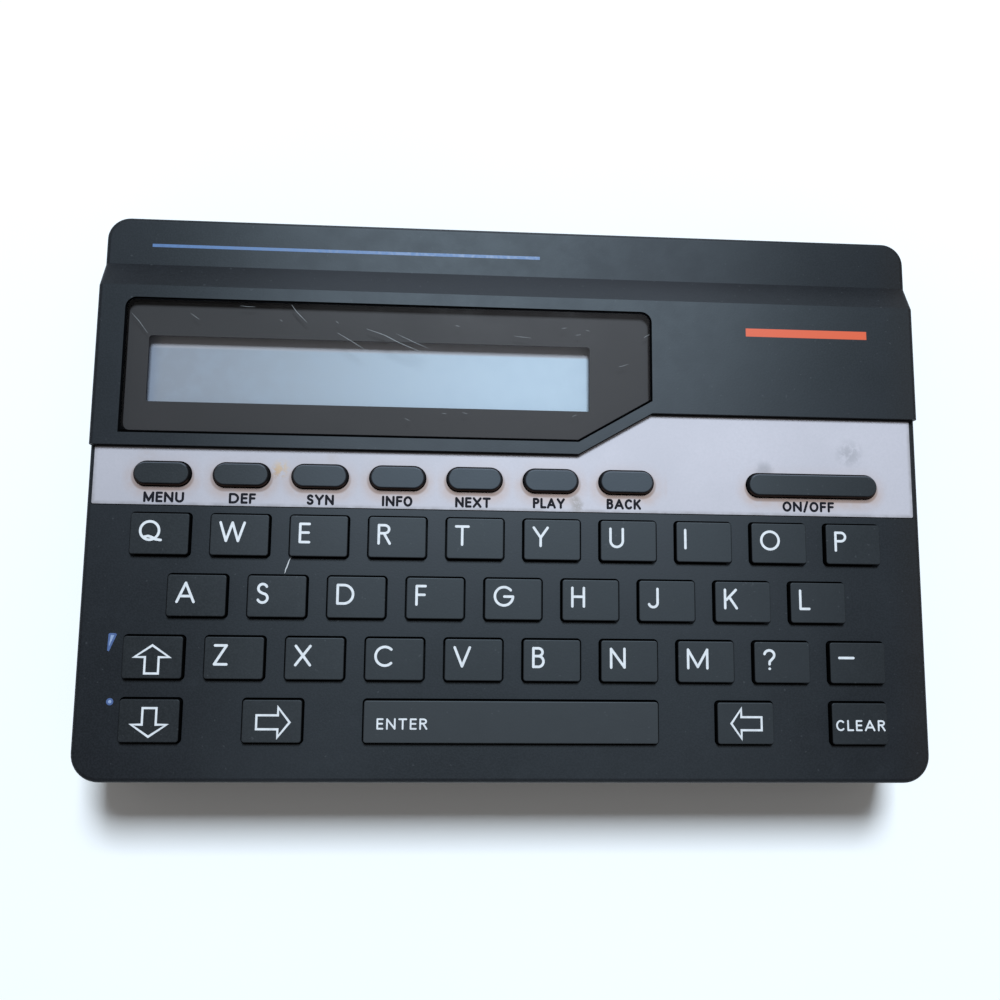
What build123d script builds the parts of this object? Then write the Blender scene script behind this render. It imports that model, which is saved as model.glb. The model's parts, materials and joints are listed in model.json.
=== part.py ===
from build123d import *
import os

os.makedirs("parts", exist_ok=True)

# ---------------------------------------------------------------------------
# Pocket electronic dictionary: a flat slab with a raised display deck, a
# silver function strip and a 34-key keyboard.  Millimetres.
# Origin: centre of the footprint, on the plane the four rubber feet rest on.
# +X to the right of the keyboard, +Y towards the display and rear edge, +Z up.
# ---------------------------------------------------------------------------

# --- case -------------------------------------------------------------------
CASE_W = 138.6          # outside width
CASE_D = 93.2           # outside depth
R_FRONT = 4.5           # plan radius of the two front corners
R_REAR = 3.8            # plan radius of the two rear corners
WALL = 2.0              # side wall thickness
FOOT_H = 0.8            # feet stand this far below the bottom case
Z_FLOOR_TOP = 2.8       # inside face of the bottom case floor
Z_PART = 8.0            # parting plane between the two case halves
Z_DECK = 18.0           # keyboard deck
Z_DISPLAY = 19.2        # display deck
Z_REAR = 16.7           # rear shelf behind the display deck
Y_SLOPE_TOP = 33.85     # slope from the display deck ...
Y_SLOPE_FOOT = 38.3     # ... down to the rear shelf
Z_CEILING = 16.0        # underside of the keyboard and display deck
Z_REAR_CEILING = 14.9   # underside of the rear shelf
EDGE_R = 0.8            # rounding of the outer top edges
BASE_R = 2.0            # rounding of the bottom edge
SEAM = 0.35             # chamfer on each side of the parting line

# front wall of the display deck, stepping back to the right
Y_STEP_LEFT = 6.95
Y_STEP_RIGHT = 14.2
X_STEP_A = 10.75
X_STEP_B = 23.25

# --- silver function strip --------------------------------------------------
STRIP_X = 68.1          # right edge
STRIP_XL = 68.4         # left edge, to the left of the middle
STRIP_Y0 = -2.7         # front edge
STRIP_GAP = 0.1         # gap to the case round the strip
STRIP_RECESS = 0.3      # how far the strip is let into the deck
STRIP_T = 0.5           # strip thickness

# --- display window ---------------------------------------------------------
WIN_X0, WIN_X1 = -64.7, 23.3
WIN_Y0, WIN_Y1 = 8.95, 31.8
WIN_CH_X, WIN_CH_Y = 10.75, 16.25   # where the slanted corner begins and ends
WIN_R = 1.9             # corner radius
WIN_GAP = 0.14          # gap between the window and the case
WIN_T = 1.25            # window plate
MASK_GAP = 0.05         # adhesive line between plate and mask
MASK_T = 0.2            # printed mask film under the plate
MASK_X0, MASK_X1 = -60.9, 12.8      # clear opening of the mask
MASK_Y0, MASK_Y1 = 14.45, 25.65

# --- liquid crystal panel ---------------------------------------------------
LCD_CX, LCD_CY = -24.05, 20.05
LCD_W, LCD_D, LCD_T = 80.0, 19.0, 1.5
LCD_LIP = 1.55          # how far the case overlaps the panel all round

# --- keys -------------------------------------------------------------------
PITCH_X = 12.7
ROW_Y = {"q": -7.5, "a": -17.32, "z": -27.13, "b": -36.95}
KEY_W, KEY_D = 9.28, 6.62
KEY_H = 1.0             # key top above the deck
KEY_R = 0.45            # plan corner radius
KEY_TOP_R = 0.15        # rounding of the top edge
ENTER_W = 47.4
FN_Y = 2.36
FN_DX = -0.2            # function keys sit this far left of the columns
FN_W, FN_D = 9.15, 3.95
FN_BEVEL_H, FN_BEVEL_W = 0.62, 0.34   # steep bevel round the top of a function key
FN_TOP_R = 0.12         # rounding where the bevel meets the flat top
ON_OFF_W, ON_OFF_X = 22.4, 50.6
KEY_GAP = 0.3           # running clearance in the deck openings, each side
FN_GAP = 0.16           # running clearance in the strip openings, each side
FLANGE_OUT = 0.6        # retaining flange beyond the cap, each side
FLANGE_T = 0.8
FLANGE_TOP = 15.9       # 0.1 mm under the ceiling
TRAVEL = 0.8

# --- keyboard contact mat and circuit board ---------------------------------
PCB_Z0, PCB_T = 11.6, 1.6
PCB_X = 61.5
PCB_Y0, PCB_Y1 = -40.6, 20.0
MAT_T = 0.8
MAT_X, MAT_Y0, MAT_Y1 = 61.3, -40.4, 5.7
DOME_R0, DOME_R1 = 2.6, 1.9
PCB_SCREWS = [(-45.0, 7.8), (45.0, 7.8), (-47.6, -36.95), (47.6, -36.95)]

# --- battery bay: four AAA cells, two rows of two ---------------------------
CELL_R, CELL_L, NUB_R, NUB_L = 5.2, 44.4, 1.9, 0.8
CELL_STEP = 44.5        # cell to cell along a row
CELL_Z = 8.05
CELL_ROWS = (28.4, 39.2)
BAY_X = 49.8            # outside half width of the bay walls
BAY_WALL = 1.2
BAY_Y0 = 21.2
BAY_ROOF_Z = 13.3
BAY_ROOF_T = 0.8

# --- battery cover ----------------------------------------------------------
COVER_X = 45.75         # half width of the cover panel
COVER_Y0 = 24.25        # front edge of the panel
COVER_T = 1.6
COVER_GAP = 0.25
LIP_X = 47.6            # half width of the rear lip
LIP_TOP = 6.9
LIP_T = 1.8
TONGUE_OUT = 1.2        # side tongue beyond the panel
TONGUE_Z0, TONGUE_T = 1.5, 0.6

# --- screws and feet --------------------------------------------------------
CASE_SCREWS = [
    (-64.5, -42.4), (64.5, -42.4),
    (-64.2, -17.32), (64.2, -17.32),
    (-60.0, 40.0), (60.0, 40.0),
]
BOSS_R = 2.3
FEET = [(-54.0, -36.0), (54.0, -36.0), (-58.0, 30.0), (58.0, 30.0)]
FOOT_R = 4.0

# ---------------------------------------------------------------------------
# shared flat profiles
# ---------------------------------------------------------------------------
with BuildSketch() as outline_sk:
    Rectangle(CASE_W, CASE_D)
    fillet(outline_sk.vertices().group_by(Axis.Y)[0], R_FRONT)
    fillet(outline_sk.vertices().group_by(Axis.Y)[-1], R_REAR)

with BuildSketch() as inner_sk:
    add(outline_sk.sketch)
    offset(amount=-WALL)

with BuildSketch() as window_sk:
    with BuildLine():
        Polyline(
            (WIN_X0, WIN_Y0), (WIN_CH_X, WIN_Y0), (WIN_X1, WIN_CH_Y),
            (WIN_X1, WIN_Y1), (WIN_X0, WIN_Y1), close=True,
        )
    make_face()
    fillet(window_sk.vertices().group_by(Axis.Y)[-1], WIN_R)
    fillet(window_sk.vertices().sort_by(Axis.X)[0], WIN_R)
    fillet(window_sk.vertices().sort_by(Axis.X)[-1], WIN_R)

with BuildSketch() as window_plate_sk:
    add(window_sk.sketch)
    offset(amount=-WIN_GAP)

with BuildSketch() as strip_sk:
    with BuildLine():
        Polyline(
            (-STRIP_XL, STRIP_Y0), (STRIP_X, STRIP_Y0),
            (STRIP_X, Y_STEP_RIGHT - STRIP_GAP),
            (X_STEP_B + 0.03, Y_STEP_RIGHT - STRIP_GAP),
            (X_STEP_A + 0.03, Y_STEP_LEFT - STRIP_GAP),
            (-STRIP_XL, Y_STEP_LEFT - STRIP_GAP), close=True,
        )
    make_face()
    fillet(strip_sk.vertices().group_by(Axis.Y)[0], 0.25)

# ---------------------------------------------------------------------------
# key list: node, x, y, width, depth, function key?
# ---------------------------------------------------------------------------
KEYS = []
for i, k in enumerate("qwertyuiop"):
    KEYS.append(("key_" + k, (i - 4.5) * PITCH_X, ROW_Y["q"], KEY_W, KEY_D, False))
for i, k in enumerate("asdfghjkl"):
    KEYS.append(("key_" + k, (i - 4.0) * PITCH_X, ROW_Y["a"], KEY_W, KEY_D, False))
for i, k in enumerate(["up", "z", "x", "c", "v", "b", "n", "m", "question", "dash"]):
    KEYS.append(("key_" + k, (i - 4.5) * PITCH_X, ROW_Y["z"], KEY_W, KEY_D, False))
for k, col, w in [
    ("down", -4.5, KEY_W), ("right", -3.0, KEY_W), ("enter", 0.0, ENTER_W),
    ("left", 3.0, KEY_W), ("clear", 4.5, KEY_W),
]:
    KEYS.append(("key_" + k, col * PITCH_X, ROW_Y["b"], w, KEY_D, False))
for i, k in enumerate(["menu", "def", "syn", "info", "next", "play", "back"]):
    KEYS.append(("key_" + k, (i - 4.5) * PITCH_X + FN_DX, FN_Y, FN_W, FN_D, True))
KEYS.append(("key_on_off", ON_OFF_X, FN_Y, ON_OFF_W, FN_D, True))

# ---------------------------------------------------------------------------
# top case
# ---------------------------------------------------------------------------
with BuildPart() as top_case:
    with BuildSketch(Plane.XY.offset(Z_PART)):
        add(outline_sk.sketch)
    extrude(amount=Z_DECK - Z_PART)
    # raised display deck
    with BuildSketch(Plane.XY.offset(Z_DECK)):
        add(outline_sk.sketch)
        with BuildLine():
            Polyline(
                (-90, Y_STEP_LEFT), (X_STEP_A, Y_STEP_LEFT), (X_STEP_B, Y_STEP_RIGHT),
                (90, Y_STEP_RIGHT), (90, 60), (-90, 60), close=True,
            )
        make_face(mode=Mode.INTERSECT)
    extrude(amount=Z_DISPLAY - Z_DECK)
    # slope and rear shelf
    with BuildSketch(Plane.YZ):
        with BuildLine():
            Polyline(
                (Y_SLOPE_TOP, Z_DISPLAY), (Y_SLOPE_FOOT, Z_REAR), (60, Z_REAR),
                (60, 30), (Y_SLOPE_TOP, 30), close=True,
            )
        make_face()
    extrude(amount=90, both=True, mode=Mode.SUBTRACT)
    # rounded outer top edges, and the seam chamfer round the bottom
    rim = top_case.edges().filter_by(
        lambda e: min(e.start_point().Z, e.end_point().Z) > Z_REAR - 0.01
        and (
            (abs(e.start_point().X) > CASE_W / 2 - R_FRONT - 0.01
             and abs(e.end_point().X) > CASE_W / 2 - R_FRONT - 0.01
             and e.geom_type == GeomType.CIRCLE)
            or (abs(abs(e.center().X) - CASE_W / 2) < 0.01
                and abs(e.start_point().Y - e.end_point().Y) > 0.01)
            or abs(abs(e.center().Y) - CASE_D / 2) < 0.01
        )
    )
    fillet(rim, EDGE_R)
    seam = top_case.faces().sort_by(Axis.Z)[0].outer_wire().edges()
    chamfer(seam, SEAM)
    # hollow inside
    with BuildSketch(Plane.XY.offset(Z_PART)):
        add(inner_sk.sketch)
    extrude(amount=Z_REAR_CEILING - Z_PART, mode=Mode.SUBTRACT)
    with BuildSketch(Plane.XY.offset(Z_REAR_CEILING)):
        add(inner_sk.sketch)
        with Locations((0, 50 + Y_SLOPE_TOP - 0.6)):
            Rectangle(200, 100, mode=Mode.SUBTRACT)
    extrude(amount=Z_CEILING - Z_REAR_CEILING, mode=Mode.SUBTRACT)
    # window recess and the opening over the panel
    with BuildSketch(Plane.XY.offset(Z_DISPLAY - WIN_T - MASK_GAP - MASK_T)):
        add(window_sk.sketch)
    extrude(amount=WIN_T + MASK_GAP + MASK_T + 1, mode=Mode.SUBTRACT)
    with BuildSketch(Plane.XY.offset(Z_CEILING - 0.5)):
        with Locations((LCD_CX, LCD_CY)):
            RectangleRounded(LCD_W - 2 * LCD_LIP, LCD_D - 2 * LCD_LIP, 1.0)
    extrude(amount=3, mode=Mode.SUBTRACT)
    # ribs that locate the panel
    with BuildSketch(Plane.XY.offset(14.4)):
        for sx in (-1, 1):
            with Locations((LCD_CX + sx * (LCD_W / 2 + 0.1 + 0.6), LCD_CY)):
                Rectangle(1.2, LCD_D - 3)
        for sy in (-1, 1):
            with Locations((LCD_CX, LCD_CY + sy * (LCD_D / 2 + 0.1 + 0.5))):
                Rectangle(LCD_W - 6, 1.0)
    extrude(amount=Z_CEILING - 14.4)
    # recess for the silver strip
    with BuildSketch(Plane.XY.offset(Z_DECK - STRIP_RECESS)):
        with BuildLine():
            Polyline(
                (-STRIP_XL - STRIP_GAP, STRIP_Y0 - STRIP_GAP),
                (STRIP_X + STRIP_GAP, STRIP_Y0 - STRIP_GAP),
                (STRIP_X + STRIP_GAP, Y_STEP_RIGHT),
                (X_STEP_B, Y_STEP_RIGHT), (X_STEP_A, Y_STEP_LEFT),
                (-STRIP_XL - STRIP_GAP, Y_STEP_LEFT), close=True,
            )
        make_face()
    extrude(amount=STRIP_RECESS, mode=Mode.SUBTRACT)
    # key openings
    with BuildSketch(Plane.XY.offset(Z_CEILING - 0.5)):
        for node, x, y, w, d, fn in KEYS:
            with Locations((x, y)):
                if fn:
                    SlotOverall(w + 2 * (FN_GAP + 0.05), d + 2 * (FN_GAP + 0.05))
                else:
                    RectangleRounded(w + 2 * KEY_GAP, d + 2 * KEY_GAP, KEY_R + KEY_GAP)
    extrude(amount=4, mode=Mode.SUBTRACT)
    # screw bosses for the case screws
    with BuildSketch(Plane.XY.offset(Z_PART)):
        with Locations(*[p for p in CASE_SCREWS if p[1] > 0]):
            Circle(BOSS_R)
    extrude(amount=Z_REAR_CEILING - Z_PART + 0.5)
    with BuildSketch(Plane.XY.offset(Z_PART)):
        with Locations(*[p for p in CASE_SCREWS if p[1] < 0]):
            Circle(BOSS_R)
    extrude(amount=Z_CEILING - Z_PART + 0.5)
    with BuildSketch(Plane.XY.offset(Z_PART - 1)):
        with Locations(*CASE_SCREWS):
            Circle(1.1)
    extrude(amount=5.5, mode=Mode.SUBTRACT)
    # posts that hold the circuit board
    with BuildSketch(Plane.XY.offset(PCB_Z0 + PCB_T)):
        with Locations(*PCB_SCREWS):
            Circle(1.9)
    extrude(amount=Z_CEILING - PCB_Z0 - PCB_T + 0.2)
    with BuildSketch(Plane.XY.offset(PCB_Z0 + PCB_T)):
        with Locations(*PCB_SCREWS):
            Circle(0.8)
    extrude(amount=2.4, mode=Mode.SUBTRACT)
    # rebates for the locating lip of the bottom case
    with BuildSketch(Plane.XY.offset(Z_PART)):
        for sx in (-1, 1):
            with Locations((sx * (CASE_W / 2 - WALL + 0.5), 0)):
                Rectangle(1.2, 60.6)
        with Locations((0, -CASE_D / 2 + WALL - 0.5)):
            Rectangle(100.6, 1.2)
    extrude(amount=1.2, mode=Mode.SUBTRACT)
top_case.part.label = "top_case"
export_step(top_case.part, "parts/top_case.step")

# ---------------------------------------------------------------------------
# bottom case
# ---------------------------------------------------------------------------
with BuildPart() as bottom_case:
    with BuildSketch(Plane.XY.offset(FOOT_H)):
        add(outline_sk.sketch)
    extrude(amount=Z_PART - FOOT_H)
    fillet(bottom_case.faces().sort_by(Axis.Z)[0].outer_wire().edges(), BASE_R)
    chamfer(bottom_case.faces().sort_by(Axis.Z)[-1].outer_wire().edges(), SEAM)
    with BuildSketch(Plane.XY.offset(Z_FLOOR_TOP)):
        add(inner_sk.sketch)
    extrude(amount=20, mode=Mode.SUBTRACT)
    # locating lip inside the parting line
    with BuildSketch(Plane.XY.offset(Z_PART - 1.5)):
        for sx in (-1, 1):
            with Locations((sx * (CASE_W / 2 - WALL + 0.45), 0)):
                Rectangle(0.9, 60)
        with Locations((0, -CASE_D / 2 + WALL - 0.45)):
            Rectangle(100, 0.9)
    extrude(amount=2.5)
    # battery bay walls and roof
    with BuildSketch(Plane.XY.offset(Z_FLOOR_TOP)):
        with Locations((0, BAY_Y0 + BAY_WALL / 2)):
            Rectangle(2 * BAY_X, BAY_WALL)
        for sx in (-1, 1):
            with Locations((sx * (BAY_X - BAY_WALL / 2), (BAY_Y0 + 44.4) / 2)):
                Rectangle(BAY_WALL, 44.4 - BAY_Y0)
    extrude(amount=BAY_ROOF_Z - Z_FLOOR_TOP)
    with BuildSketch(Plane.XY.offset(BAY_ROOF_Z)):
        with Locations((0, (BAY_Y0 + 44.4) / 2)):
            Rectangle(2 * BAY_X, 44.4 - BAY_Y0)
    extrude(amount=BAY_ROOF_T)
    # opening for the battery cover, out through the rear wall
    with BuildSketch(Plane.XY):
        with Locations((0, (COVER_Y0 - COVER_GAP + 60) / 2)):
            Rectangle(2 * (COVER_X + COVER_GAP), 60 - COVER_Y0 + COVER_GAP)
    extrude(amount=Z_FLOOR_TOP + 0.2, mode=Mode.SUBTRACT)
    with BuildSketch(Plane.XY):
        with Locations((0, 52.0)):
            Rectangle(2 * (LIP_X + COVER_GAP), 2 * (52.0 - CASE_D / 2 + WALL))
    extrude(amount=LIP_TOP + 0.2, mode=Mode.SUBTRACT)
    # grooves for the cover's side tongues
    with BuildSketch(Plane.XY.offset(TONGUE_Z0 - 0.15)):
        with Locations((0, (COVER_Y0 + 1.0 + 60) / 2)):
            Rectangle(2 * (COVER_X + TONGUE_OUT + 0.2), 60 - COVER_Y0 - 1.0)
    extrude(amount=TONGUE_T + 0.3, mode=Mode.SUBTRACT)
    # screw pillars, their holes and the head counterbores
    with BuildSketch(Plane.XY.offset(Z_FLOOR_TOP - 0.5)):
        with Locations(*CASE_SCREWS):
            Circle(BOSS_R + 0.5)
        add(inner_sk.sketch, mode=Mode.INTERSECT)
    extrude(amount=Z_PART - Z_FLOOR_TOP + 0.5)
    with BuildSketch(Plane.XY):
        with Locations(*CASE_SCREWS):
            Circle(1.25)
    extrude(amount=20, mode=Mode.SUBTRACT)
    with BuildSketch(Plane.XY):
        with Locations(*CASE_SCREWS):
            Circle(2.25)
    extrude(amount=3.6, mode=Mode.SUBTRACT)
    # pockets for the feet
    with BuildSketch(Plane.XY):
        with Locations(*FEET):
            Circle(FOOT_R + 0.1)
    extrude(amount=2 * FOOT_H, mode=Mode.SUBTRACT)
    # shallow blank label recess in the underside
    with BuildSketch(Plane.XY):
        with Locations((0, -14)):
            RectangleRounded(72, 34, 1.5)
    extrude(amount=FOOT_H + 0.3, mode=Mode.SUBTRACT)
bottom_case.part.label = "bottom_case"
export_step(bottom_case.part, "parts/bottom_case.step")

# ---------------------------------------------------------------------------
# battery cover: slides out to the rear
# ---------------------------------------------------------------------------
with BuildPart() as battery_cover:
    with BuildSketch(Plane.XY.offset(FOOT_H)):
        with Locations((0, (COVER_Y0 + CASE_D / 2) / 2)):
            Rectangle(2 * COVER_X, CASE_D / 2 - COVER_Y0)
    extrude(amount=COVER_T)
    with BuildSketch(Plane.XY.offset(FOOT_H)):
        with Locations((0, CASE_D / 2 - LIP_T / 2)):
            Rectangle(2 * LIP_X, LIP_T)
    extrude(amount=LIP_TOP - FOOT_H)
    # the corner below the lip follows the rounded base of the case
    fillet(
        battery_cover.edges().filter_by(Axis.X).filter_by(
            lambda e: abs(e.center().Y - CASE_D / 2) < 0.01 and e.center().Z < 1.0
        ),
        1.7,
    )
    # side tongues
    with BuildSketch(Plane.XY.offset(TONGUE_Z0)):
        for sx in (-1, 1):
            with Locations((sx * (COVER_X + TONGUE_OUT / 2 - 0.2), 35.0)):
                Rectangle(TONGUE_OUT + 0.4, 17.0)
    extrude(amount=TONGUE_T)
    # thumb grip grooves across the outside
    with BuildSketch(Plane.XY):
        with Locations((0, 32.0), (0, 34.0), (0, 36.0), (0, 38.0)):
            RectangleRounded(26, 1.0, 0.45)
    extrude(amount=FOOT_H + 0.4, mode=Mode.SUBTRACT)
battery_cover.part.label = "battery_cover"
export_step(battery_cover.part, "parts/battery_cover.step")

# ---------------------------------------------------------------------------
# silver function strip
# ---------------------------------------------------------------------------
with BuildPart() as function_strip:
    with BuildSketch(Plane.XY.offset(Z_DECK - STRIP_RECESS)):
        add(strip_sk.sketch)
        for node, x, y, w, d, fn in KEYS:
            if fn:
                with Locations((x, y)):
                    SlotOverall(w + 2 * FN_GAP, d + 2 * FN_GAP, mode=Mode.SUBTRACT)
    extrude(amount=STRIP_T)
function_strip.part.label = "function_strip"
export_step(function_strip.part, "parts/function_strip.step")

# ---------------------------------------------------------------------------
# display window, its printed mask and the liquid crystal panel
# ---------------------------------------------------------------------------
with BuildPart() as display_window:
    with BuildSketch(Plane.XY.offset(Z_DISPLAY - WIN_T)):
        add(window_plate_sk.sketch)
    extrude(amount=WIN_T)
    chamfer(display_window.faces().sort_by(Axis.Z)[-1].outer_wire().edges(), 0.3)
display_window.part.label = "display_window"
export_step(display_window.part, "parts/display_window.step")

with BuildPart() as window_mask:
    with BuildSketch(Plane.XY.offset(Z_DISPLAY - WIN_T - MASK_GAP - MASK_T)):
        add(window_plate_sk.sketch)
        with Locations(((MASK_X0 + MASK_X1) / 2, (MASK_Y0 + MASK_Y1) / 2)):
            RectangleRounded(MASK_X1 - MASK_X0, MASK_Y1 - MASK_Y0, 0.5, mode=Mode.SUBTRACT)
    extrude(amount=MASK_T)
window_mask.part.label = "window_mask"
export_step(window_mask.part, "parts/window_mask.step")

with BuildPart() as lcd_panel:
    with BuildSketch(Plane.XY.offset(Z_CEILING - LCD_T)):
        with Locations((LCD_CX, LCD_CY)):
            Rectangle(LCD_W, LCD_D)
    extrude(amount=LCD_T)
    # the upper glass stops short of the contact ledge along the front
    with BuildSketch(Plane.XY.offset(Z_CEILING - LCD_T)):
        with Locations((LCD_CX, LCD_CY + LCD_D / 2 - 0.6)):
            Rectangle(LCD_W + 1, 1.2)
    extrude(amount=LCD_T / 2, mode=Mode.SUBTRACT)
lcd_panel.part.label = "lcd_panel"
export_step(lcd_panel.part, "parts/lcd_panel.step")

with BuildPart() as zebra_connector:
    with BuildSketch(Plane.XY.offset(PCB_Z0 + PCB_T)):
        with Locations((LCD_CX, LCD_CY - LCD_D / 2 + 1.6)):
            Rectangle(LCD_W - 8, 1.8)
    extrude(amount=Z_CEILING - LCD_T - PCB_Z0 - PCB_T)
zebra_connector.part.label = "zebra_connector"
export_step(zebra_connector.part, "parts/zebra_connector.step")

# ---------------------------------------------------------------------------
# keys: a cap that rises through the deck and a flange that keeps it in
# ---------------------------------------------------------------------------
for node, x, y, w, d, fn in KEYS:
    top = Z_DECK + (KEY_H if not fn else STRIP_T - STRIP_RECESS + KEY_H)
    with BuildPart() as key:
        with BuildSketch(Plane.XY.offset(FLANGE_TOP - FLANGE_T)):
            with Locations((x, y)):
                if fn:
                    SlotOverall(w + 2 * FLANGE_OUT, d + 2 * FLANGE_OUT)
                else:
                    RectangleRounded(w + 2 * FLANGE_OUT, d + 2 * FLANGE_OUT, 0.6)
        extrude(amount=FLANGE_T)
        with BuildSketch(Plane.XY.offset(FLANGE_TOP)):
            with Locations((x, y)):
                if fn:
                    SlotOverall(w, d)
                else:
                    RectangleRounded(w, d, KEY_R)
        extrude(amount=top - FLANGE_TOP)
        if fn:
            chamfer(
                key.faces().sort_by(Axis.Z)[-1].outer_wire().edges(),
                length=FN_BEVEL_W, length2=FN_BEVEL_H,
                reference=key.faces().sort_by(Axis.Z)[-1],
            )
        fillet(
            key.faces().sort_by(Axis.Z)[-1].outer_wire().edges(),
            FN_TOP_R if fn else KEY_TOP_R,
        )
    key.part.label = node
    export_step(key.part, "parts/" + node + ".step")

# ---------------------------------------------------------------------------
# silicone contact mat: one sheet with a dome under each key
# ---------------------------------------------------------------------------
DOMES = []
for node, x, y, w, d, fn in KEYS:
    if w > 40:
        DOMES += [(x - 16, y), (x, y), (x + 16, y)]
    elif w > 20:
        DOMES += [(x - 6, y), (x + 6, y)]
    else:
        DOMES.append((x, y))
with BuildPart() as keypad_mat:
    with BuildSketch(Plane.XY.offset(PCB_Z0 + PCB_T)):
        with Locations((0, (MAT_Y0 + MAT_Y1) / 2)):
            Rectangle(2 * MAT_X, MAT_Y1 - MAT_Y0)
        with Locations(*[p for p in PCB_SCREWS if p[1] < 0]):
            Circle(2.3, mode=Mode.SUBTRACT)
    extrude(amount=MAT_T)
    with Locations(*[(x, y, PCB_Z0 + PCB_T + MAT_T) for x, y in DOMES]):
        Cone(
            DOME_R0 - 0.6, DOME_R1 - 0.3, FLANGE_TOP - FLANGE_T - PCB_Z0 - PCB_T - MAT_T,
            align=(Align.CENTER, Align.CENTER, Align.MIN),
        )
keypad_mat.part.label = "keypad_mat"
export_step(keypad_mat.part, "parts/keypad_mat.step")

# ---------------------------------------------------------------------------
# circuit board and the parts soldered under it
# ---------------------------------------------------------------------------
with BuildPart() as main_pcb:
    with BuildSketch(Plane.XY.offset(PCB_Z0)):
        with Locations((0, (PCB_Y0 + PCB_Y1) / 2)):
            Rectangle(2 * PCB_X, PCB_Y1 - PCB_Y0)
        with Locations(*PCB_SCREWS):
            Circle(1.1, mode=Mode.SUBTRACT)
    extrude(amount=PCB_T)
main_pcb.part.label = "main_pcb"
export_step(main_pcb.part, "parts/main_pcb.step")

with BuildPart() as pcb_components:
    # processor, memory and driver packages
    with Locations((-8, -12, PCB_Z0)):
        Box(20, 14, 2.2, align=(Align.CENTER, Align.CENTER, Align.MAX))
    with Locations((24, -12, PCB_Z0)):
        Box(28, 11, 2.4, align=(Align.CENTER, Align.CENTER, Align.MAX))
    with Locations((-36, 6, PCB_Z0)):
        Box(14, 10, 2.0, align=(Align.CENTER, Align.CENTER, Align.MAX))
    # crystal can and two electrolytic capacitors lying on their sides
    with Locations((-26, -14, PCB_Z0 - 1.5)):
        Cylinder(1.5, 8, rotation=(90, 0, 0))
    with Locations((30, 8, PCB_Z0 - 2.6), (40, 8, PCB_Z0 - 2.6)):
        Cylinder(2.5, 9, rotation=(90, 0, 0))
pcb_components.part.label = "pcb_components"
export_step(pcb_components.part, "parts/pcb_components.step")

with BuildPart() as pcb_screws:
    with BuildSketch(Plane.XY.offset(PCB_Z0 - 1.2)):
        with Locations(*PCB_SCREWS):
            Circle(1.9)
    extrude(amount=1.2)
    with BuildSketch(Plane.XY.offset(PCB_Z0 - 0.2)):
        with Locations(*PCB_SCREWS):
            Circle(0.8)
    extrude(amount=PCB_T + 0.2 + 2.2)
pcb_screws.part.label = "pcb_screws"
export_step(pcb_screws.part, "parts/pcb_screws.step")

# ---------------------------------------------------------------------------
# batteries, springs and contact plates
# ---------------------------------------------------------------------------
with BuildPart() as battery_cells:
    for row, sx in ((CELL_ROWS[0], 1), (CELL_ROWS[1], -1)):
        for n in (0, 1):
            x0 = sx * (48.0 - CELL_L - CELL_STEP * n)    # flat end
            pl = Plane(origin=(x0, row, CELL_Z), x_dir=(0, 1, 0), z_dir=(sx, 0, 0))
            with BuildSketch(pl):
                Circle(CELL_R)
            extrude(amount=CELL_L - NUB_L)
            with BuildSketch(pl.offset(CELL_L - NUB_L)):
                Circle(NUB_R)
            extrude(amount=NUB_L)
battery_cells.part.label = "battery_cells"
export_step(battery_cells.part, "parts/battery_cells.step")

SPRING_L = 6.5
with BuildPart() as battery_springs:
    for row, sx in ((CELL_ROWS[0], -1), (CELL_ROWS[1], 1)):
        with BuildLine() as coil:
            Helix(
                pitch=1.5, height=SPRING_L - 0.4, radius=3.2,
                center=(sx * 47.8, row, CELL_Z), direction=(-sx, 0, 0),
            )
        with BuildSketch(Plane(coil.line @ 0, z_dir=coil.line % 0)):
            Circle(0.25)
        sweep(is_frenet=True)
battery_springs.part.label = "battery_springs"
export_step(battery_springs.part, "parts/battery_springs.step")

with BuildPart() as battery_contacts:
    # one plate bridges both rows at the left, two single plates at the right
    with Locations((-48.35, sum(CELL_ROWS) / 2, CELL_Z)):
        Box(0.4, 20.0, 8.6)
    for row in CELL_ROWS:
        with Locations((48.35, row, CELL_Z)):
            Box(0.4, 8.6, 8.6)
battery_contacts.part.label = "battery_contacts"
export_step(battery_contacts.part, "parts/battery_contacts.step")

# ---------------------------------------------------------------------------
# case screws and rubber feet
# ---------------------------------------------------------------------------
with BuildPart() as case_screws:
    with BuildSketch(Plane.XY.offset(2.0)):
        with Locations(*CASE_SCREWS):
            Circle(2.0)
    extrude(amount=1.6)
    with BuildSketch(Plane.XY.offset(3.4)):
        with Locations(*CASE_SCREWS):
            Circle(1.1)
    extrude(amount=8.8)
    # cross recess
    with BuildSketch(Plane.XY.offset(2.0)):
        with Locations(*CASE_SCREWS):
            Rectangle(2.4, 0.6)
            Rectangle(0.6, 2.4)
    extrude(amount=0.8, mode=Mode.SUBTRACT)
case_screws.part.label = "case_screws"
export_step(case_screws.part, "parts/case_screws.step")

with BuildPart() as rubber_feet:
    with BuildSketch():
        with Locations(*FEET):
            Circle(FOOT_R)
    extrude(amount=2 * FOOT_H)
    chamfer(rubber_feet.faces().group_by(Axis.Z)[0].edges(), 0.3)
rubber_feet.part.label = "rubber_feet"
export_step(rubber_feet.part, "parts/rubber_feet.step")
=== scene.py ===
import json
import math
import bpy
from mathutils import Matrix, Vector
from mathutils.geometry import delaunay_2d_cdt


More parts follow.
